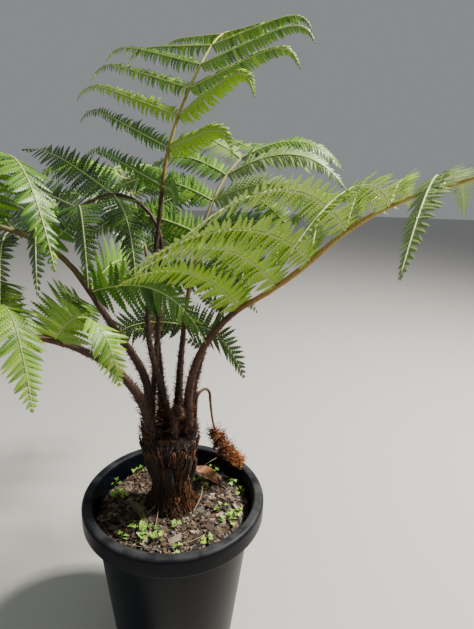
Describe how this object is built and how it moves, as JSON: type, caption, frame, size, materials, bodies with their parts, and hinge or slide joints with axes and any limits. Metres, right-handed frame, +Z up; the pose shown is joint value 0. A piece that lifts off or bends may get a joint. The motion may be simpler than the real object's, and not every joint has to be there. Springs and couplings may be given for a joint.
{
  "type": "potted tree fern",
  "caption": "Young tree fern in a round nursery pot: a short leaning trunk, a rosette of arching divided fronds, one coiled new frond and one withered frond.",
  "frame": {"origin": "centre of the pot's flat underside", "axes": "+Z up the pot's axis, +X to the right and +Y away as seen from the picture's side"},
  "size_m": [1.1119, 0.952, 1.0211],
  "materials": {
    "pot": "black moulded nursery-pot plastic, scuffed grey on the rim",
    "potting_mix": "moist bark mix with paler chips",
    "trunk": "dark fibrous trunk with old stalk bases",
    "crozier": "rusty scales on a coiled young frond",
    "stalk": "dark brown scaly stalk, tan towards the leaf",
    "leaf": "fresh green divided leaf, soft sheen",
    "withered_leaf": "dry rusty brown shrivelled leaf"
  },
  "bodies": {
    "root": {"pot": "pot", "potting_mix": "potting_mix", "trunk": "trunk", "crozier": "crozier", "frond_a_stalk": "stalk", "frond_a_blade_1": "leaf", "frond_a_blade_2": "leaf", "frond_b_stalk": "stalk", "frond_b_blade_1": "leaf", "frond_b_blade_2": "leaf", "frond_c_stalk": "stalk", "frond_c_blade_1": "leaf", "frond_c_blade_2": "leaf", "frond_d_stalk": "stalk", "frond_d_blade_1": "leaf", "frond_d_blade_2": "leaf", "frond_e_stalk": "stalk", "frond_e_blade_1": "leaf", "frond_e_blade_2": "leaf", "frond_f_stalk": "stalk", "frond_f_blade_1": "leaf", "frond_f_blade_2": "leaf", "frond_h_stalk": "stalk", "frond_h_blade_1": "leaf", "frond_h_blade_2": "leaf", "frond_i_stalk": "stalk", "frond_i_blade_1": "leaf", "frond_i_blade_2": "leaf", "frond_dead_stalk": "withered_leaf", "frond_dead_blade": "withered_leaf"}
  },
  "joints": []
}
